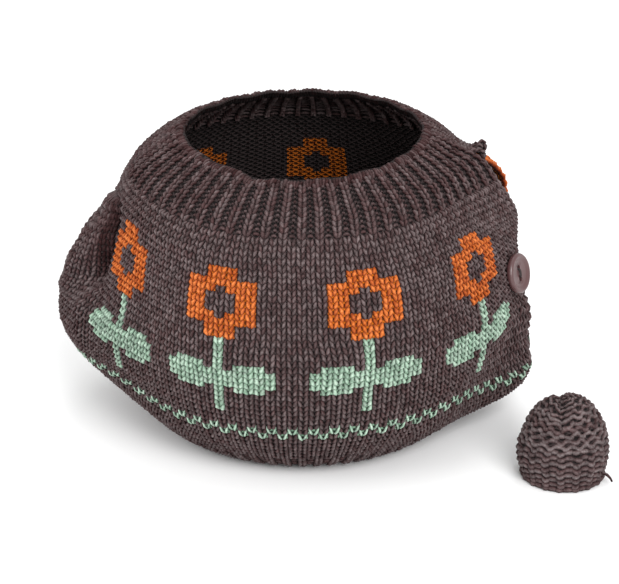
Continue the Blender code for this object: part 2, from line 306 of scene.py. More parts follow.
# The handle's side. The panels are sewn above and below the handle, and buttoned between its two
# openings, where the front one laps over the back one. The handle hitches the back panel up and
# pinches a small fold of it.
HANDLE_BULGE = np.array((
    # height, reach in mm, spread in degrees, squareness
    (0, 1, 18, 2), (8, 10, 18, 2), (12, 13.4, 18, 2), (16, 13.3, 18, 2), (24, 10.5, 18, 2), (34, 5, 16, 2),
    (42, 0.5, 15, 2), (50, -0.3, 15, 2), (58, 0.6, 15, 2), (66, 4, 17, 2), (76, 7.6, 19, 2), (80, 7.0, 16, 2),
    (84, 4.2, 13, 2), (88, 0.6, 12, 2), (92, 0, 12, 2), (96, 0, 12, 2),
))
FRONT_HANDLE_GAP = (
    # height, half the width of the opening; less than 0 is the lap
    (0, 0), (14, 0), (17, 0), (22, 4.5), (28, 6), (34, 4), (40, -1), (60, -1), (67, 2), (74, 6.5), (80, 6.5),
    (86, 0), (88, 0), (96, 0),
)
BACK_HANDLE_GAP = (
    (0, 0), (14, 0), (17, 0), (22, 4.5), (28, 6), (34, 4), (40, -6), (60, -6), (67, 0), (74, 5), (80, 5),
    (86, 0), (88, 0), (96, 0),
)
LAP_ZONE = ((0, 0), (28, 0), (30, 0), (36, 1), (42, 1), (64, 1), (70, 1), (77, 0), (84, 0), (96, 0))
LAP_WIDTH = 0.075
FRONT_LIFT = 2.0
BACK_TUCK = 2.0
TURNED_IN = (64, 86)  # the heights between which the back panel's edge turns in
TURN_IN, TURN_IN_WALES = 0.8, 4
BACK_LAP_LOWER = 5
HITCH, HITCH_WALES = 9.5, 9  # rows by which the back panel rides up
HITCHED_ROWS = (1, 19, 25, 46)  # the hitch grows to the second, is full to the third, ends at the last
PINCH_WALE, PINCH_ROW = 1.4, 16.9
PINCH_WALES, PINCH_ROWS = 1.5, 1.3
PINCH_REACH, PINCH_RISE = 5.2, 3.3
DENT_WALE, DENT_ROW, DENT_SIZE, DENT_DEPTH = 6, 10, 4, 1.2
handle_bulge = [through(HANDLE_BULGE, k) for k in (1, 2, 3)]
handle_gap_at = {True: through(FRONT_HANDLE_GAP), False: through(BACK_HANDLE_GAP)}
lap_at = through(LAP_ZONE)


def hitched(wale, row):
    """The row of the back panel with the handle's pull upward."""
    return row - HITCH * hump(wale / HITCH_WALES) * np.interp(row, HITCHED_ROWS, (0, 1, 1, 0))


def beside_handle(front, wale, row, radius, height, turn, to_handle):
    """The cloth's radius and height with the handle's bulge, the lap and the pinched fold."""
    if not front:
        edge = between(height, *TURNED_IN, 5, 6) * hump(wale / TURN_IN_WALES)
        pinch = hump((wale - PINCH_WALE) / PINCH_WALES, (row - PINCH_ROW) / PINCH_ROWS)
        dent = hump((wale - DENT_WALE) / DENT_SIZE, (row - DENT_ROW) / DENT_SIZE)
        radius = radius - TURN_IN * edge + PINCH_REACH * pinch - DENT_DEPTH * dent
        height = height + PINCH_RISE * pinch
    radius = radius + bulge(handle_bulge, height, math.pi - turn)
    lap = lap_at(height if front else height + BACK_LAP_LOWER)
    lap = lap * smooth_step((to_handle - 1 + LAP_WIDTH) / LAP_WIDTH)
    return radius + lap * (FRONT_LIFT if front else -BACK_TUCK), height


# How the whole cloth hangs on the pot: its stitches drawn aside by the belly and the openings, its
# collar dipping at the front with a wavy edge, and its surface never quite even.
PULLS = np.array((
    # on the front panel: wale, row, how wide and how tall the place is, and how many wales
    # towards the handle and rows down its stitches are drawn
    (5, 35, 7, 9, 2.9, -1.5),
    (14, 34, 6, 9, 1.5, -0.4),
    (10, 18, 6, 7, -0.2, -0.8),
    (8, 46, 7, 5, 0.2, -2.4),
    (24.5, 26, 6, 6, -0.2, 1.3),
    (38.5, 26, 6, 6, 0.3, 0.5),
    (38.5, 42, 9, 5, 0.3, -0.3),
    (52.5, 17, 7, 7, 0.6, -0.3),
    (53, 28, 7, 7, -1.3, -0.3),
    (58, 35, 5, 6, -1.3, -2.1),
    (50, 42, 6, 6, 0.7, -0.9),
    (61, 46, 5, 5, 0.0, 0.9),
    (9, 35, 4, 5, -0.9, 0.8),
    (10.5, 27, 5, 4, -0.3, -0.4),
    (22.5, 19, 6, 5, -0.3, 0.2),
    (25, 34, 6, 6, 0.3, 0.4),
    (24.5, 27, 6, 4, 0.2, -0.7),
    (36, 34, 5, 6, 0.2, 0.1),
    (43, 35, 5, 5, -0.3, -0.3),
    (38.5, 27, 7, 5, -0.4, 0.0),
    (49.5, 35, 4, 4, -0.6, -0.2),
    (53, 29, 4, 5, 0.6, 0.3),
    (57, 35, 4, 5, 0.5, 0.0),
))
COLLAR_DIP = 3.7
DIP_FROM, DIP_TO = 56.0, 93
EDGE_ROWS = 4
EDGE_WAVES, EDGE_WAVE_HEIGHT = 17, 0.3
EDGE_SAG_AT, EDGE_SAG_WIDTH = 253, 8  # degrees round; the edge sags by 1 mm there
UNEVENNESS = 0.28


def pulled(wale, row):
    """Where the wales and rows of the front panel end up."""
    at_wale, at_row, wide, tall, aside, down = PULLS.T
    near = hump((wale[..., None] - at_wale) / wide, (row[..., None] - at_row) / tall)
    aside = near @ aside * between(wale, 0, PANEL, 6, 5)
    down = near @ down * between(row, 0, ROW_COUNT - 4, 8, 8)
    return wale + aside, row + down


def drawn_together(stitch, wale, row):
    """How many wales a stitch is drawn aside by the ribs and the flowers."""
    ribs = rib_depth(row) * smooth_step(np.minimum(wale, PANEL - wale) / SEAM_WALES)
    repeats = np.sin(2 * math.pi * (wale - PANEL / 2 - REPEAT / 2) / REPEAT)
    flowers = between(row, *FLOWER_ZONE, 4, 3) * repeats
    return RIB_SPREAD * ribs * np.sin(math.pi * (stitch - 0.5)) + FLOWER_SPREAD * flowers


def bare_wall(front, stitch, row):
    """A point in the cloth before its ribs are raised, in mm."""
    placed_row = row
    if front:
        wale = np.where(stitch < LIP_END, lip_place_at(stitch), stitch)
        wale, placed_row = pulled(wale, row)
    else:
        wale = np.where(stitch > PANEL - LIP_END, PANEL - lip_place_at(PANEL - stitch), stitch)
        placed_row = hitched(wale, row)
    down = np.interp(placed_row, np.arange(ROW_COUNT + 1), row_starts)
    radius, height = radius_at(down), np.maximum(height_at(down), FOOT_HEIGHT)
    across = np.clip((wale + drawn_together(stitch, wale, placed_row)) / PANEL, -0.01, 1.01)
    to_handle = across if front else 1 - across
    turn = math.pi * to_handle
    turn = turn + half_gap(spout_gap_at, height) / radius * np.clip(1 - to_handle, 0, 1) ** GAP_FADE
    turn = turn - half_gap(handle_gap_at[front], height) / radius * np.clip(to_handle, 0, 1) ** GAP_FADE
    angle = math.pi + turn if front else math.pi - turn
    standing = above_foot(height)
    radius = beside_spout(front, radius, height, turn, to_handle)
    radius, height = beside_handle(front, wale, row, radius, height, turn, to_handle)
    lumps = np.sin(3 * angle + height / 9) * np.sin(height / 7 + 1.3) + 0.5 * np.sin(7 * angle - height / 5)
    radius = radius + standing * UNEVENNESS * lumps
    if front:
        dipping = smooth_step((height - DIP_FROM) / (DIP_TO - DIP_FROM))
        height = height - COLLAR_DIP * np.sin(angle) ** 2 * dipping
    sag = hump((np.degrees(angle) - EDGE_SAG_AT) / EDGE_SAG_WIDTH)
    edge = smooth_step((EDGE_ROWS - placed_row) / EDGE_ROWS)
    height = height + edge * (EDGE_WAVE_HEIGHT * np.sin(EDGE_WAVES * angle) - sag)
    return np.stack((radius * np.cos(angle), radius * np.sin(angle), height), -1)


def wall(front, wale, row, lift=0.0):
    """A point in the cloth, in mm, and the way out from it. On the front panel the wales run 0 to
    63 from the spout to the handle, on the back one from the handle to the spout; lift is how far
    the point stands out."""
    wale, row = np.broadcast_arrays(np.asarray(wale, float), np.asarray(row, float))
    side = bare_wall(front, wale + 0.3, row) - bare_wall(front, wale - 0.3, row)
    upward = bare_wall(front, wale, row - 0.4) - bare_wall(front, wale, row + 0.4)
    outward = np.cross(side, upward)
    outward /= np.linalg.norm(outward, axis=-1, keepdims=True)
    lift = lift + RIB_HEIGHT * rib_depth(row) * np.cos(math.pi * (wale - 0.5))
    return bare_wall(front, wale, row) + outward * lift[..., None], outward


# The cloth itself, seen from the inside: its purl side, rows of bumps in the yarns' colours, the charcoal
# painted darker than its yarn as painted shade in the gaps between the stitches. It is one thin sheet, and
# the stitches of its right side are laid on it in the next section.
MM = 0.001
CLOTH_INSET = 0.35  # how far the sheet lies behind the middle of the stitches
CLOTH_THICKNESS = 0.7
PURL_SWAY = 1.25  # how far a row of bumps winds up and down
PURL_RELIEF = 0.0009
# The charcoal is painted darker than the charcoal yarn, as painted shade in the gaps between the stitches;
# orange and mint are the yarns' own colours.
SHEET_COLOURS_AND_SHADE = {CHARCOAL: (0.040, 0.028, 0.028), ORANGE: (0.50, 0.12, 0.008), MINT: (0.26, 0.42, 0.29)}


def add_mesh(name, corners, faces, material, uv=None, painted_shade_and_tone=None, shade_warmth=1.5):
    """A piece from corners in mm round the cosy's axis and a list of faces, smooth all over. tone is how
    light each corner is painted: painted light and shade with a random tone; the darker it is, the warmer its
    painted shade looks."""
    mesh = bpy.data.meshes.new(name)
    corners = np.asarray(corners, float).reshape(-1, 3) * MM + AXIS
    faces = np.asarray(faces)
    sides = faces.shape[1]
    mesh.vertices.add(len(corners))
    mesh.vertices.foreach_set("co", corners.ravel())
    mesh.loops.add(faces.size)
    mesh.loops.foreach_set("vertex_index", faces.ravel())
    mesh.polygons.add(len(faces))
    mesh.polygons.foreach_set("loop_start", np.arange(0, faces.size, sides))
    mesh.update(calc_edges=True)
    mesh.shade_smooth()
    if uv is not None:
        layer = mesh.uv_layers.new(name="UVMap")
        layer.data.foreach_set("uv", np.asarray(uv, float)[faces.ravel()].ravel())
    if painted_shade_and_tone is not None:
        # painted light and shade with a random tone; the painted shade is warmed, redder the darker it is
        shades = mesh.color_attributes.new("painted_shade_and_tone", "BYTE_COLOR", "POINT")
        warm_shade = painted_shade_and_tone ** shade_warmth
        shades.data.foreach_set("color", np.column_stack((painted_shade_and_tone, warm_shade, warm_shade, np.ones_like(painted_shade_and_tone))).ravel())
    mesh.materials.append(material)
    made = bpy.data.objects.new(name, mesh)
    bpy.context.collection.objects.link(made)
    return made


def make_purl_side(name):
    """Wool with rows of purl bumps, in the colours painted on the cloth's faces, with painted shade in the
    hollows between the bumps.
    """
    material = bpy.data.materials.new(name)
    material.use_nodes = True
    nodes, links = material.node_tree.nodes, material.node_tree.links
    shader = nodes["Principled BSDF"]
    shader.inputs["Roughness"].default_value = 0.95
    shader.inputs["Specular IOR Level"].default_value = 0.2
    uv = nodes.new("ShaderNodeUVMap")
    split = nodes.new("ShaderNodeSeparateXYZ")
    links.new(uv.outputs["UV"], split.inputs[0])

    def sum_up(operation, a, b=None):
        step = nodes.new("ShaderNodeMath")
        step.operation = operation
        for socket, value in zip(step.inputs, (a, b)):
            if isinstance(value, (int, float)):
                socket.default_value = value
            elif value is not None:
                links.new(value, socket)
        return step.outputs[0]

    wales = sum_up("MULTIPLY", split.outputs["X"], 2 * math.pi)
    wave = sum_up("MULTIPLY", sum_up("COSINE", wales), PURL_SWAY)
    rows = sum_up("MULTIPLY", split.outputs["Y"], 2 * math.pi)
    over = sum_up("COSINE", sum_up("ADD", rows, wave))
    under = sum_up("COSINE", sum_up("ADD", sum_up("SUBTRACT", rows, wave), math.pi))
    height = sum_up("MAXIMUM", over, under)
    tint = nodes.new("ShaderNodeVertexColor")
    tint.layer_name = "chart"
    # painted shade: darker the lower the cloth lies between the bumps
    dark = nodes.new("ShaderNodeMapRange")
    links.new(height, dark.inputs["Value"])
    dark.inputs["From Min"].default_value = -0.6
    dark.inputs["To Min"].default_value = 0.25
    shade = nodes.new("ShaderNodeMix")
    shade.data_type, shade.blend_type = "RGBA", "MULTIPLY"
    shade.inputs[0].default_value = 1.0
    links.new(tint.outputs["Color"], shade.inputs[6])
    links.new(dark.outputs["Result"], shade.inputs[7])
    links.new(shade.outputs[2], shader.inputs["Base Color"])
    bump = nodes.new("ShaderNodeBump")
    bump.inputs["Strength"].default_value = 1.0
    bump.inputs["Distance"].default_value = PURL_RELIEF
    links.new(height, bump.inputs["Height"])
    links.new(bump.outputs["Normal"], shader.inputs["Normal"])
    return material


def lattice(across, down):
    """Faces of a grid of points with that many columns and rows of points."""
    i, j = np.meshgrid(np.arange(across - 1), np.arange(down - 1), indexing="ij")
    first = (i * down + j).ravel()
    return np.stack((first, first + 1, first + down + 1, first + down), -1)


purl_side = make_purl_side("purl_side")
sheet_rows = np.linspace(0, ROW_COUNT, ROW_COUNT + 1)
sheet_points, sheet_faces, sheet_uv, face_tints = [], [], [], []
for front in (True, False):
    sheet_wales = np.linspace(*EDGES[front], 2 * len(WALES[front]) + 1)
    wales, rows = np.meshgrid(sheet_wales, sheet_rows, indexing="ij")
    points, _ = wall(front, wales, rows, lift=-CLOTH_INSET)
    sheet_faces.append(lattice(len(sheet_wales), len(sheet_rows)) + sum(len(p) for p in sheet_points))
    sheet_points.append(points.reshape(-1, 3))
    sheet_uv.append(np.stack((wales, rows), -1).reshape(-1, 2))
    face_tints += [
        SHEET_COLOURS_AND_SHADE[colour_at(front, math.floor(wale), int(row))]
        for wale in sheet_wales[:-1] for row in sheet_rows[:-1]
    ]
points, faces, uv = (np.concatenate(both) for both in (sheet_points, sheet_faces, sheet_uv))
cloth = add_mesh("knitted_cloth", points, faces, purl_side, uv)
tints = cloth.data.color_attributes.new("chart", "FLOAT_COLOR", "CORNER")
face_tints = np.column_stack((face_tints, np.ones(len(face_tints))))
tints.data.foreach_set("color", np.repeat(face_tints, 4, axis=0).ravel())
thickness = cloth.modifiers.new("thickness", "SOLIDIFY")
thickness.thickness, thickness.offset = CLOTH_THICKNESS * MM, 1.0
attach(cloth, "root")
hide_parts("cosy_body")


# The stitches, of soft double knitting wool. Each knit stitch shows as a V of two plump legs that
# rise out of the stitch below. In the ribs every other wale lies back as a ladder of purl bumps,
# and the zigzag's stitches are slack, so that their V's are long and lie on top.
YARN, COLOURED_YARN = 0.55, 0.62  # half the width of a strand, in mm
LEG = np.array((
    # wales aside, rows down, lift in mm, width as a share of the yarn's
    (0.060, 0.76, -0.50, 0.25),
    (0.145, 0.42, 0.26, 0.84),
    (0.245, 0.00, 0.78, 1.12),
    (0.335, -0.40, 0.26, 0.84),
    (0.430, -0.76, -0.50, 0.25),
))
ZIGZAG_LEG = np.array((
    (0.050, 0.72, -0.30, 0.45),
    (0.130, 0.34, 0.62, 0.66),
    (0.245, -0.12, 1.02, 0.70),
    (0.360, -0.62, 0.80, 0.64),
    (0.450, -1.10, -0.10, 0.40),
))
RIB_LEG = np.array((
    (0.075, 0.74, -0.40, 0.25),
    (0.130, 0.40, 0.38, 1.02),
    (0.190, 0.00, 0.66, 1.20),
    (0.245, -0.38, 0.38, 1.02),
    (0.290, -0.74, -0.40, 0.25),
))
BUMP = np.array((
    (-0.52, 0.14, -0.15, 0.55),
    (-0.28, -0.05, 0.28, 0.98),
    (0.00, -0.13, 0.34, 1.00),
    (0.28, -0.05, 0.28, 0.98),
    (0.52, 0.14, -0.15, 0.55),
))
HEM_BUMP = BUMP + (0, 0, 0.15, 0)

# No two stitches lie quite the same: how far they stray in spread, aside in wales, down in rows,
# up in mm and in width.
STRAY_SPREAD, STRAY_ASIDE, STRAY_DOWN, STRAY_LIFT, STRAY_WIDTH = 0.05, 0.018, 0.04, 0.06, 0.05

# Painted light and shade in the strands' colour: a painted highlight on each strand's crest, painted shade on
# its flanks and where its end sinks in, more painted shade in the collar and on the purl bumps, and most in
# the valley beside the spout's lip. Apart from that, each strand's tone differs at random.
CREST_SHARPNESS = 2.4
FLANK_PAINTED_LIGHT, SUNK_PAINTED_LIGHT = 0.04, 0.08
SUNK_WIDTH, SUNK_FADE = 0.4, 0.55
STRAND_LIGHT = (0.68, 1.25)
# painted shade on the collar's knit stitches and on the purl bumps
COLLAR_PAINTED_LIGHT, BUMP_PAINTED_LIGHT = 0.78, 0.66
# painted shade in the valley beside the spout's lip
VALLEY_WALE, VALLEY_WIDTH, VALLEY_ROWS, VALLEY_PAINTED_SHADE = 1.5, 1.7, (14, 31), 0.7
chance = np.random.default_rng(7)


def make_yarn(name, deep, bright, sheen):
    """Soft wool: two plies twisted together, fine crossing fibres and a slightly heathered dye, darkened by
    the painted light and shade held in the strands' colour attribute.
    """
    material = bpy.data.materials.new(name)
    material.use_nodes = True
    nodes, links = material.node_tree.nodes, material.node_tree.links
    shader = nodes["Principled BSDF"]
    shader.inputs["Roughness"].default_value = 0.92
    shader.inputs["Specular IOR Level"].default_value = 0.08
    shader.inputs["Sheen Weight"].default_value = sheen
    shader.inputs["Sheen Roughness"].default_value = 0.55
    shader.inputs["Sheen Tint"].default_value = (*[0.5 + 0.5 * c for c in bright], 1)
    where = nodes.new("ShaderNodeTexCoord")
    heather = nodes.new("ShaderNodeTexNoise")
    heather.inputs["Scale"].default_value = 420
    heather.inputs["Detail"].default_value = 3
    fibre = nodes.new("ShaderNodeTexNoise")
    fibre.inputs["Scale"].default_value = 2600
    fibre.inputs["Detail"].default_value = 2
    links.new(where.outputs["Object"], heather.inputs["Vector"])
    links.new(where.outputs["Object"], fibre.inputs["Vector"])
    plies = nodes.new("ShaderNodeTexWave")
    plies.wave_type, plies.bands_direction = "BANDS", "DIAGONAL"
    plies.inputs["Scale"].default_value = 0.62
    plies.inputs["Distortion"].default_value = 0.6
    links.new(where.outputs["UV"], plies.inputs["Vector"])
    blend = nodes.new("ShaderNodeMix")
    blend.data_type = "FLOAT"
    blend.inputs[0].default_value = 0.45
    links.new(heather.outputs["Fac"], blend.inputs[2])
    links.new(fibre.outputs["Fac"], blend.inputs[3])
    ramp = nodes.new("ShaderNodeValToRGB")
    ramp.color_ramp.elements[0].position = 0.33
    ramp.color_ramp.elements[0].color = (*deep, 1)
    ramp.color_ramp.elements[1].position = 0.66
    ramp.color_ramp.elements[1].color = (*bright, 1)
    links.new(blend.outputs[0], ramp.inputs["Fac"])
    shade = nodes.new("ShaderNodeMix")
    shade.data_type, shade.blend_type = "RGBA", "MULTIPLY"
    shade.inputs[0].default_value = 0.15
    links.new(ramp.outputs["Color"], shade.inputs[6])
    links.new(plies.outputs["Color"], shade.inputs[7])
    # the strands' painted light and shade, with their random tone, multiplied into the colour
    depth = nodes.new("ShaderNodeVertexColor")
    depth.layer_name = "painted_shade_and_tone"
    painted_shade_mix = nodes.new("ShaderNodeMix")
    painted_shade_mix.data_type, painted_shade_mix.blend_type = "RGBA", "MULTIPLY"
    painted_shade_mix.inputs[0].default_value = 1.0
    links.new(shade.outputs[2], painted_shade_mix.inputs[6])
    links.new(depth.outputs["Color"], painted_shade_mix.inputs[7])
    links.new(painted_shade_mix.outputs[2], shader.inputs["Base Color"])
    twist = nodes.new("ShaderNodeBump")
    twist.inputs["Strength"].default_value = 0.35
    twist.inputs["Distance"].default_value = 0.00022
    links.new(plies.outputs["Fac"], twist.inputs["Height"])
    fuzz = nodes.new("ShaderNodeBump")
    fuzz.inputs["Strength"].default_value = 0.5
    fuzz.inputs["Distance"].default_value = 0.00012
    links.new(fibre.outputs["Fac"], fuzz.inputs["Height"])
    links.new(twist.outputs["Normal"], fuzz.inputs["Normal"])
    links.new(fuzz.outputs["Normal"], shader.inputs["Normal"])
    return material


yarns = {
    CHARCOAL: make_yarn("charcoal_yarn", (0.054, 0.043, 0.043), (0.197, 0.164, 0.164), 0.03),
    ORANGE: make_yarn("orange_yarn", (0.48, 0.105, 0.010), (0.79, 0.260, 0.076), 0.04),
    MINT: make_yarn("mint_yarn", (0.25, 0.41, 0.29), (0.55, 0.69, 0.57), 0.04),
}


def tubes(paths, normals, half, sides=6, flat=0.9, light=1.0):
    """Strands of yarn along paths of points: (strands, points, 3). half is their half width, flat how flat
    they lie and light how much painted light each one keeps. Each strand's colour is painted: a painted
    highlight on its crest, painted shade on its flanks and at its sunk ends, and a random tone."""
    count, steps = half.shape
    along = np.gradient(paths, axis=1)
    along /= np.linalg.norm(along, axis=-1, keepdims=True)
    aside = np.cross(along, normals)
    aside /= np.linalg.norm(aside, axis=-1, keepdims=True)
    above = np.cross(aside, along)
    turn = 2 * math.pi * (np.arange(sides) + 0.5) / sides
    ring = (
        np.cos(turn)[None, None, :, None] * aside[:, :, None, :]
        + flat * np.sin(turn)[None, None, :, None] * above[:, :, None, :]
    )
    corners = paths[:, :, None, :] + ring * half[:, :, None, None]
    step, side = np.meshgrid(np.arange(steps - 1), np.arange(sides), indexing="ij")
    a = (step * sides + side).ravel()
    b = (step * sides + (side + 1) % sides).ravel()
    quad = np.stack((a, b, b + sides, a + sides), -1)
    faces = (quad[None] + np.arange(count)[:, None, None] * steps * sides).reshape(-1, 4)
    length = np.cumsum(np.linalg.norm(np.diff(paths, axis=1, prepend=paths[:, :1]), axis=-1), axis=1)
    around = np.arange(sides)[None, None, :] / sides * 2.0
    along = length[:, :, None] + chance.uniform(0, 3, (count, 1, 1))
    uv = np.stack(np.broadcast_arrays(around, along), -1)
    # painted highlight on the crest, painted shade on the flanks and where the strand's ends sink in; the
    # random factor below is the strand's own tone
    crest = (0.5 + 0.5 * np.sin(turn)) ** CREST_SHARPNESS
    plump = np.clip((half / half.max(axis=1, keepdims=True) - SUNK_WIDTH) / SUNK_FADE, 0, 1)
    end_light = SUNK_PAINTED_LIGHT + (1 - SUNK_PAINTED_LIGHT) * plump[:, :, None]
    painted_shade_and_tone = FLANK_PAINTED_LIGHT + (1 - FLANK_PAINTED_LIGHT) * crest[None, None, :] * end_light
    light = np.broadcast_to(light, count)[:, None, None]
    painted_shade_and_tone = np.clip(painted_shade_and_tone * chance.uniform(*STRAND_LIGHT, (count, 1, 1)) * light, 0.02, 1)
    return corners.reshape(-1, 3), faces, uv.reshape(-1, 2), painted_shade_and_tone.ravel()


def stitch_paths(front, wale, row, shape, side=1, face=1, yarn=YARN):
    """Where the yarn of some stitches runs. side -1 mirrors the shape, face -1 is the inside."""
    stray = chance.normal(0, 1, (len(wale), 4))
    spread = shape[None, :, 0] * (1 + STRAY_SPREAD * stray[:, :1])
    across = wale[:, None] + 0.5 + side * spread + STRAY_ASIDE * stray[:, 1:2]
    down = row[:, None] + 0.5 + shape[None, :, 1] + STRAY_DOWN * stray[:, 2:3]
    down = np.clip(down, 0, ROW_COUNT)
    lift = face * (shape[None, :, 2] + STRAY_LIFT * stray[:, 3:4])
    if face < 0:
        lift = lift - CLOTH_INSET
    paths, normals = wall(front, across, down, lift)
    half = yarn * shape[None, :, 3] * (1 + STRAY_WIDTH * stray[:, 1:2])
    return paths, normals * face, half


def add_yarn(name, parts, material):
    """One piece of many strands; mint keeps its hue in its painted shade."""
    starts = np.cumsum([0] + [len(part[0]) for part in parts])
    faces = np.concatenate([part[1] + start for part, start in zip(parts, starts)])
    corners, uv, painted_shade_and_tone = (np.concatenate([part[k] for part in parts]) for k in (0, 2, 3))
    shade_warmth = 1.0 if material is yarns[MINT] else 1.5
    return add_mesh(name, corners, faces, material, uv, painted_shade_and_tone, shade_warmth)


def is_knit(wale):
    """In the ribs, every other wale is knit and stands up."""
    return wale % 2 == 0


def is_ribbed(row):
    return ((row >= first_row["collar"]) & (row < COLLAR_END)) | (row >= first_row["hem"])


def painted_stitch_light(front, wale, row):
    """How much painted light a knit stitch keeps: painted shade on the collar and in the valley beside the
    spout.
    """
    dark = hump((wale - VALLEY_WALE) / VALLEY_WIDTH) * between(row, *VALLEY_ROWS, 4, 6)
    return np.where(row < COLLAR_END, COLLAR_PAINTED_LIGHT, 1) * (1 - VALLEY_PAINTED_SHADE * dark * front)


for front, panel_name in ((True, "front"), (False, "back")):
    wales, rows = (a.ravel() for a in np.meshgrid(WALES[front], np.arange(1, ROW_COUNT), indexing="ij"))
    colours = np.array([colour_at(front, w, r) for w, r in zip(wales, rows)])
    in_rib = is_ribbed(rows)
    below = rows >= first_row["zigzag"]
    groups = (
        ("stitches", (colours == CHARCOAL) & ~in_rib & ~below, CHARCOAL),
        ("lower_stitches", (colours == CHARCOAL) & ~in_rib & below, CHARCOAL),
        ("ribs", in_rib, CHARCOAL),
        ("flowers", colours == ORANGE, ORANGE),
        ("leaves", (colours == MINT) & ~below, MINT),
        ("zigzag", (colours == MINT) & below, MINT),
    )
    for piece_name, chosen, colour in groups:
        parts = []
        knit = chosen & (is_knit(wales) | ~in_rib)
        leg = {"ribs": RIB_LEG, "zigzag": ZIGZAG_LEG}.get(piece_name, LEG)
        yarn = YARN if colour == CHARCOAL else COLOURED_YARN
        for side in (-1, 1):
            legs = stitch_paths(front, wales[knit], rows[knit], leg, side, yarn=yarn)
            # painted shade on the collar's stitches and in the valley beside the spout
            parts.append(tubes(*legs, light=painted_stitch_light(front, wales[knit], rows[knit])))
        for purl_rows, shape in ((rows < first_row["hem"], BUMP), (rows >= first_row["hem"], HEM_BUMP)):
            purl = chosen & in_rib & ~is_knit(wales) & purl_rows
            if purl.any():
                bumps = stitch_paths(front, wales[purl], rows[purl], shape)
                # painted shade on the purl bumps
                parts.append(tubes(*bumps, light=BUMP_PAINTED_LIGHT))
        piece = add_yarn(f"{panel_name}_{piece_name}", parts, yarns[colour])
        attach(piece, "root")


# The inside of the ribbed collar, which shows through the mouth and is the same wool. From within,
# the purl wales of the outside stand up as the knit ones.
inner_parts = []
for front in (True, False):
    wales, rows = (a.ravel() for a in np.meshgrid(WALES[front], np.arange(1, COLLAR_END), indexing="ij"))
    knit = ~is_knit(wales)
    for side in (-1, 1):
        legs = stitch_paths(front, wales[knit], rows[knit], LEG, side, face=-1)
        inner_parts.append(tubes(*legs, sides=4))
    bumps = stitch_paths(front, wales[~knit], rows[~knit], BUMP, face=-1)
    inner_parts.append(tubes(*bumps, sides=4))
inner_collar = add_yarn("collar_inside", inner_parts, yarns[CHARCOAL])
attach(inner_collar, "root")


# The cast-off edge of the collar: small uneven loops of the charcoal wool, two to a wale, that roll over the
# last row and down on the inside. Each loop is painted darker by a random share: painted shade on the rolled
# edge, uneven from loop to loop.
CHAIN_YARN = 0.6
CHAIN_STRAY_ASIDE, CHAIN_STRAY_DOWN = 0.03, 0.1
# painted shade on the rolled edge: each loop darker by a random share
CHAIN_WIDTHS, CHAIN_PAINTED_LIGHT = (0.75, 1.15), (0.25, 0.75)
CHAIN_OUTER = np.array((
    # wales aside, rows down, lift in mm, width as a share of the yarn's
    (-0.12, 1.15, -0.10, 0.60),
    (-0.07, 0.65, 0.45, 0.95),
    (0.00, 0.22, 0.62, 1.00),
    (0.07, -0.15, 0.42, 0.95),
    (0.14, -0.40, -0.20, 0.75),
))
CHAIN_INNER = CHAIN_OUTER * (1, 1, -1, 1) + (0, 0, -0.3, 0)
chain_parts = []
for front in (True, False):
    halves = np.concatenate((WALES[front] + 0.25, WALES[front] + 0.75))
    for shape in (CHAIN_OUTER, CHAIN_INNER):
        across = halves[:, None] + shape[None, :, 0]
        across = across + chance.normal(0, CHAIN_STRAY_ASIDE, (len(halves), 1))
        down = 0.5 + shape[None, :, 1] + chance.normal(0, CHAIN_STRAY_DOWN, (len(halves), 1))
        down = np.clip(down, 0.02, 3)
        paths, normals = wall(front, across, down, np.broadcast_to(shape[None, :, 2], across.shape))
        half = CHAIN_YARN * shape[None, :, 3] * chance.uniform(*CHAIN_WIDTHS, (len(halves), 1))
        chain_parts.append(tubes(paths, normals, half, light=chance.uniform(*CHAIN_PAINTED_LIGHT, len(halves))))
chain = add_yarn("cast_off_edge", chain_parts, yarns[CHARCOAL])
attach(chain, "root")


# The free edges of both panels, beside the spout and the handle: a chain of edge stitches, one to
# a row in the row's own wool, that curls over the edge of the cloth.
SELVEDGE_YARN, SELVEDGE_WIDTHS = 0.72, (0.92, 1.08)
SELVEDGE_FROM = 0.6  # half the width of an opening, in mm, where the edges come apart
SELVEDGE = np.array((
    (0.10, 0.62, -0.35, 0.70),
    (-0.02, 0.30, 0.15, 1.10),
    (-0.06, 0.00, 0.30, 1.20),
    (-0.02, -0.30, 0.15, 1.10),
    (0.10, -0.62, -0.35, 0.70),
))
edge_parts = {CHARCOAL: [], ORANGE: []}
for front, edge, gap in (
    (True, EDGES[True][0], spout_gap_at), (True, PANEL, handle_gap_at[True]),
    (False, 0, handle_gap_at[False]), (False, EDGES[False][1], spout_gap_at),
):
    rows = np.arange(2, ROW_COUNT - 3)
    heights = wall(front, np.full(len(rows), float(edge)), rows + 0.5)[0][:, 2]
    rows = rows[np.abs(gap(heights)) > SELVEDGE_FROM]
    inward = 1 if edge == EDGES[front][0] else -1
    edge_wale = edge if inward > 0 else edge - 1
    across = edge + inward * SELVEDGE[None, :, 0] + 0 * rows[:, None]
    down = rows[:, None] + 0.5 + SELVEDGE[None, :, 1]
    paths, normals = wall(front, across, down, SELVEDGE[None, :, 2] + 0 * rows[:, None])
    half = SELVEDGE_YARN * SELVEDGE[None, :, 3] * chance.uniform(*SELVEDGE_WIDTHS, (len(rows), 1))
    orange = np.array([colour_at(front, edge_wale, row) == ORANGE for row in rows])
    for colour, chosen in ((CHARCOAL, ~orange), (ORANGE, orange)):
        if chosen.any():
            edge_parts[colour].append(tubes(paths[chosen], normals[chosen], half[chosen]))
for colour, name in ((CHARCOAL, "edge_stitches"), (ORANGE, "edge_stitches_orange")):
    edges = add_yarn(name, edge_parts[colour], yarns[colour])
    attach(edges, "root")


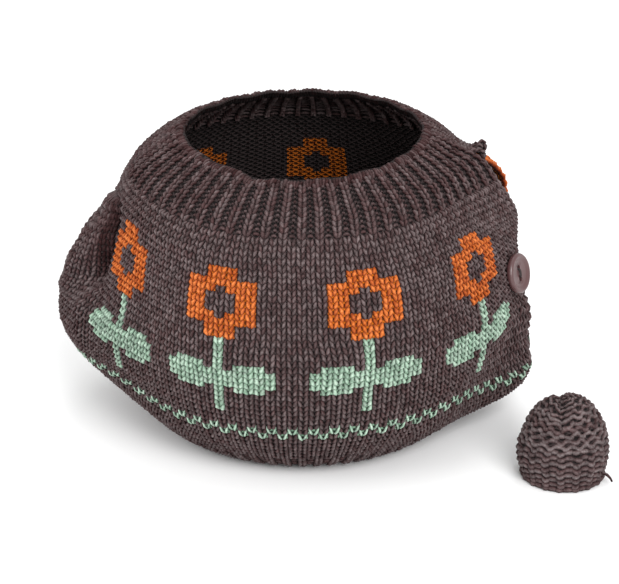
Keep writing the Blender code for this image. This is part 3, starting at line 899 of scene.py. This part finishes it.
# The button: a turned brown resin disc with a low rim and two holes. It is sewn to the front
# panel's edge, between the handle's two openings.
BUTTON_SEAT = np.array((64.5, -11.1, 51.9))
BUTTON_NORMAL = Vector((0.862, -0.448, 0.240)).normalized()
BUTTON_PROFILE = (
    # radius, height in mm
    (0.0, 0.0), (5.3, 0.0), (6.0, 0.6), (6.2, 1.2), (6.1, 1.8), (5.7, 2.3), (5.3, 2.4), (4.9, 2.25),
    (4.4, 1.85), (3.8, 1.7), (0.0, 1.7),
)
HOLE_RADIUS, HOLE_SPACING, HOLE_TURN = 0.85, 3.4, 0.09
DRILL_LENGTH = 9
resin = bpy.data.materials.new("brown_resin")
resin.use_nodes = True
nodes, links = resin.node_tree.nodes, resin.node_tree.links
shader = nodes["Principled BSDF"]
shader.inputs["Roughness"].default_value = 0.38
shader.inputs["Coat Weight"].default_value = 0.15
streaks = nodes.new("ShaderNodeTexNoise")
streaks.inputs["Scale"].default_value = 260
streaks.inputs["Detail"].default_value = 3
browns = nodes.new("ShaderNodeValToRGB")
browns.color_ramp.elements[0].color = (0.058, 0.022, 0.022, 1)
browns.color_ramp.elements[1].color = (0.098, 0.045, 0.046, 1)
where = nodes.new("ShaderNodeTexCoord")
links.new(where.outputs["Object"], streaks.inputs["Vector"])
links.new(streaks.outputs["Fac"], browns.inputs["Fac"])
links.new(browns.outputs["Color"], shader.inputs["Base Color"])

turned = bmesh.new()
verts = [turned.verts.new((radius, 0, height)) for radius, height in BUTTON_PROFILE]
bmesh.ops.spin(
    turned, geom=verts + [turned.edges.new(pair) for pair in zip(verts, verts[1:])], cent=(0, 0, 0),
    axis=(0, 0, 1), angle=2 * math.pi, steps=64, use_merge=True,
)
bmesh.ops.remove_doubles(turned, verts=turned.verts[:], dist=0.0001)
bmesh.ops.recalc_face_normals(turned, faces=turned.faces[:])
disc = bpy.data.meshes.new("button_disc")
turned.to_mesh(disc)
turned.free()
disc.shade_smooth()
disc.materials.append(resin)
button = bpy.data.objects.new("button_disc", disc)
bpy.context.collection.objects.link(button)
upward = (Vector((0, 0, 1)) - BUTTON_NORMAL * BUTTON_NORMAL.z).normalized()
seat = Matrix((upward.cross(BUTTON_NORMAL), upward, BUTTON_NORMAL)).transposed().to_4x4()
seat.translation = Vector(BUTTON_SEAT * MM + AXIS)
button.matrix_world = seat @ Matrix.Scale(MM, 4)
for side in (-1, 1):
    drill = bmesh.new()
    bmesh.ops.create_cone(
        drill, cap_ends=True, segments=24, radius1=HOLE_RADIUS, radius2=HOLE_RADIUS, depth=DRILL_LENGTH
    )
    drill.transform(
        Matrix.Translation((0, side * HOLE_SPACING / 2, 0)) @ Matrix.Rotation(HOLE_TURN, 4, "Z")
    )
    data = bpy.data.meshes.new("button_hole")
    drill.to_mesh(data)
    drill.free()
    cutter = bpy.data.objects.new("button_hole", data)
    bpy.context.collection.objects.link(cutter)
    cutter.matrix_world = button.matrix_world
    hole = button.modifiers.new("hole", "BOOLEAN")
    hole.object = cutter
    bpy.context.view_layer.update()
    cut = bpy.data.meshes.new_from_object(button.evaluated_get(bpy.context.evaluated_depsgraph_get()))
    button.modifiers.remove(hole)
    button.data = cut
    bpy.data.objects.remove(cutter)
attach(button, "root")
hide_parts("button")


# The button's thread: three strands of dark sewing thread, side by side, that come up through one
# hole and go down through the other.
THREAD = 0.2  # half its width
STRANDS_ASIDE = (-0.28, 0.0, 0.3)
THREAD_HEIGHT, THREAD_ARCH, THREAD_DIVE = 1.95, 0.12, 2.6
dark_thread = bpy.data.materials.new("sewing_thread")
dark_thread.use_nodes = True
shader = dark_thread.node_tree.nodes["Principled BSDF"]
shader.inputs["Base Color"].default_value = (0.018, 0.012, 0.012, 1)
shader.inputs["Roughness"].default_value = 0.85
strands = []
for aside in STRANDS_ASIDE:
    at = np.linspace(-1, 1, 13)
    across = np.full_like(at, aside) + 0.05 * np.sin(3 * at)
    along = at * HOLE_SPACING / 2 * (1.0 - 0.04 * aside)
    height = THREAD_HEIGHT - THREAD_DIVE * np.abs(at) ** 7 + THREAD_ARCH * (1 - at ** 2)
    strands.append(np.column_stack((across, along, height)))
paths = np.stack(strands)
normals = np.broadcast_to(np.array((0, 0, 1.0)), paths.shape)
thread_corners, thread_faces, thread_uv, _ = tubes(paths, normals, np.full(paths.shape[:2], THREAD))
thread_corners = thread_corners @ np.array(seat.to_3x3()).T + BUTTON_SEAT
thread = add_mesh("button_thread", thread_corners, thread_faces, dark_thread, thread_uv)
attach(thread, "root")


# The cap for the knob of the pot's lid: a small hollow dome of the charcoal wool, knitted round
# and drawn in at the top with the yarn's end, which leaves it uneven, with a dent across it. Its
# cloth is the same thin sheet as the body's.
CAP_PLACE = np.array((79.7, -41.2, 0.0))
CAP_SECTION = (
    # radius, height of the middle of the cloth, in mm
    (11.5, 0.0), (11.5, 1.4), (11.6, 2.6), (12.2, 5.4), (12.4, 8.5), (11.7, 13.0), (10.3, 17.3), (7.6, 21.3),
    (4.5, 23.6), (1.4, 24.5),
)
CAP_GATHER, CAP_OVERRUN = 1.6, 1.2  # mm of cloth over the section's end, drawn in to the middle
CAP_WALES = 17
CAP_COURSE = 1.75
CAP_INSET, CAP_THICKNESS = 0.35, 0.8
CAP_UNEVENNESS = 0.38
TOP_FROM, TOP_OVER = 15, 8  # the height where the top's tilt and dent begin, and how soon
TOP_TILT, TOP_TILT_AT, TOP_TILT_WIDTH = 0.55, 0.4, 2.5
DENT_DEEP, DENT_AT, DENT_WIDE = 1.7, -1.4, 1.1
cap_table = np.array(CAP_SECTION)
cap_length = np.concatenate(([0], np.cumsum(np.hypot(*np.diff(cap_table, axis=0).T))))
cap_radius_at = through(np.column_stack((cap_length, cap_table[:, 0])))
cap_height_at = through(np.column_stack((cap_length, cap_table[:, 1])))


def cap_wall(angle, along, lift=0.0):
    """A point of the cap's cloth, in mm; along is the length of cloth up from its edge."""

    def bare(angle, along):
        radius, height = cap_radius_at(along), cap_height_at(along)
        radius = radius * (1 - np.clip((along - cap_length[-1]) / CAP_GATHER, 0, 1))
        lumps = np.sin(2 * angle + 0.6) * np.sin(height / 5.5) + 0.6 * np.sin(3 * angle - height / 4.0)
        radius = radius + CAP_UNEVENNESS * lumps * smooth_step(height / 6)
        x, y = radius * np.cos(angle), radius * np.sin(angle)
        tilt = TOP_TILT * np.tanh((x - TOP_TILT_AT) / TOP_TILT_WIDTH)
        dent = DENT_DEEP * hump((x - DENT_AT) / DENT_WIDE)
        height = height + smooth_step((height - TOP_FROM) / TOP_OVER) * (tilt - dent)
        return np.stack((x, y, height), -1)

    middle = bare(angle, along)
    side = bare(angle + 0.02, along) - bare(angle - 0.02, along)
    upward = bare(angle, along + 0.2) - bare(angle, along - 0.2)
    normal = np.cross(side, upward)
    normal /= np.maximum(np.linalg.norm(normal, axis=-1, keepdims=True), 1e-6)
    lift = np.asarray(lift)
    return CAP_PLACE + middle + normal * lift[..., None], normal


cap_angles = np.linspace(0, 2 * math.pi, 4 * CAP_WALES + 1)
cap_rows = np.linspace(0, cap_length[-1] + CAP_OVERRUN, 37)
angles, rows = np.meshgrid(cap_angles, cap_rows, indexing="ij")
points, _ = cap_wall(angles, rows, np.full(angles.shape, -CAP_INSET))
faces = lattice(len(cap_angles), len(cap_rows))[:, ::-1]
cap_uv = np.stack((angles * CAP_WALES / (2 * math.pi), rows / CAP_COURSE), -1).reshape(-1, 2)
cap_cloth = add_mesh("cap_cloth", points.reshape(-1, 3), faces, purl_side, cap_uv)
tints = cap_cloth.data.color_attributes.new("chart", "FLOAT_COLOR", "CORNER")
# the charcoal, painted darker than its yarn as painted shade between the cap's ridges
tints.data.foreach_set("color", np.tile((*SHEET_COLOURS_AND_SHADE[CHARCOAL], 1.0), len(cap_cloth.data.loops)))
thickness = cap_cloth.modifiers.new("thickness", "SOLIDIFY")
thickness.thickness, thickness.offset = CAP_THICKNESS * MM, 1.0
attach(cap_cloth, "root")
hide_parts("knob_cap")


# The cap's ridges: its purl side is out, so each round shows as a ring of yarn that winds up and
# down, and the rings straggle more towards the gathered top. The yarn's end is left loose.
RIDGES = 17
FIRST_RIDGE, LAST_RIDGE_OVER = 0.55, 0.3  # mm up from the edge, and mm past the section's end
LOWEST_STRAND = 0.72
STEPS = 8  # points to a wave
RIDGE_SWAY = 0.52
RIDGE_LIFT, CREST_LIFT, SLOPE_SINK, STRAY_RISE = 0.28, 0.34, 0.25, 0.22
RIDGE_YARN, RIDGE_THIN, RIDGE_PLUMP = 0.78, 0.85, 0.2
SLIP, STRAY_HEIGHT, SWAYS = 0.13, 0.36, (0.65, 1.4)
ORDERLY, STEP_ORDERLY = 5, 7  # the last ring that runs true, and the last whose waves line up
TAIL = np.array(((11.6, -4.9, 3.2), (12.9, -5.6, 2.9), (13.8, -6.3, 2.2), (14.4, -6.9, 1.3)))
TAIL_YARN, TAIL_END = 0.62, 0.45
cap_parts = []
for ring in range(RIDGES + 1):
    along = FIRST_RIDGE + ring * (cap_length[-1] + LAST_RIDGE_OVER - FIRST_RIDGE) / RIDGES
    narrowing = float(cap_radius_at(np.array(along)) / 12)
    wales = max(4, round(CAP_WALES * min(1, narrowing + 0.12)))
    at = np.arange(wales * STEPS + 1)
    turn = 2 * math.pi * at / (wales * STEPS)
    loose = min(1.0, 0.35 + 0.5 * ring / RIDGES + (0.35 if ring > ORDERLY else 0))
    slip = chance.normal(0, SLIP * loose, wales)
    sway = chance.uniform(*SWAYS, wales)
    stray = chance.normal(0, STRAY_HEIGHT * loose, wales)
    which = at // STEPS % wales
    ease = 0.5 - 0.5 * np.cos(2 * math.pi * at / STEPS)
    wave = np.cos(wales * turn + 2.2 * (ring > STEP_ORDERLY) * ring)
    angle = turn + ease * slip[which] * 2 * math.pi / wales
    sway = 1 + ease * (sway[which] - 1)
    rise = along + RIDGE_SWAY * wave * sway * min(1, narrowing + 0.3) + ease * stray[which]
    rise[-1], angle[-1] = rise[0], angle[0] + 2 * math.pi
    rise = np.clip(rise, LOWEST_STRAND, None)
    crest = np.abs(wave)
    lift = RIDGE_LIFT + CREST_LIFT * crest - SLOPE_SINK * (1 - crest) + STRAY_RISE * ease * stray[which]
    lift[-1] = lift[0]
    path, normal = cap_wall(angle, rise, lift)
    half = RIDGE_YARN * (RIDGE_THIN + RIDGE_PLUMP * crest) * min(1, 0.55 + narrowing * 0.6)
    half[-1] = half[0]
    cap_parts.append(tubes(path[None], normal[None], half[None]))
tail = (CAP_PLACE + TAIL)[None]
thinning = np.linspace(1, TAIL_END, len(TAIL))[None]
cap_parts.append(tubes(tail, np.broadcast_to((0.0, 0.0, 1.0), tail.shape), TAIL_YARN * thinning))
cap_yarn = add_yarn("cap_ridges", cap_parts, yarns[CHARCOAL])
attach(cap_yarn, "root")


# The box round the plain solids, and the box round the same part in its wool.
size = {
    "cad": [list(corner) for corner in solid_box],
    "visual": [list(corner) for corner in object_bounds()],
}
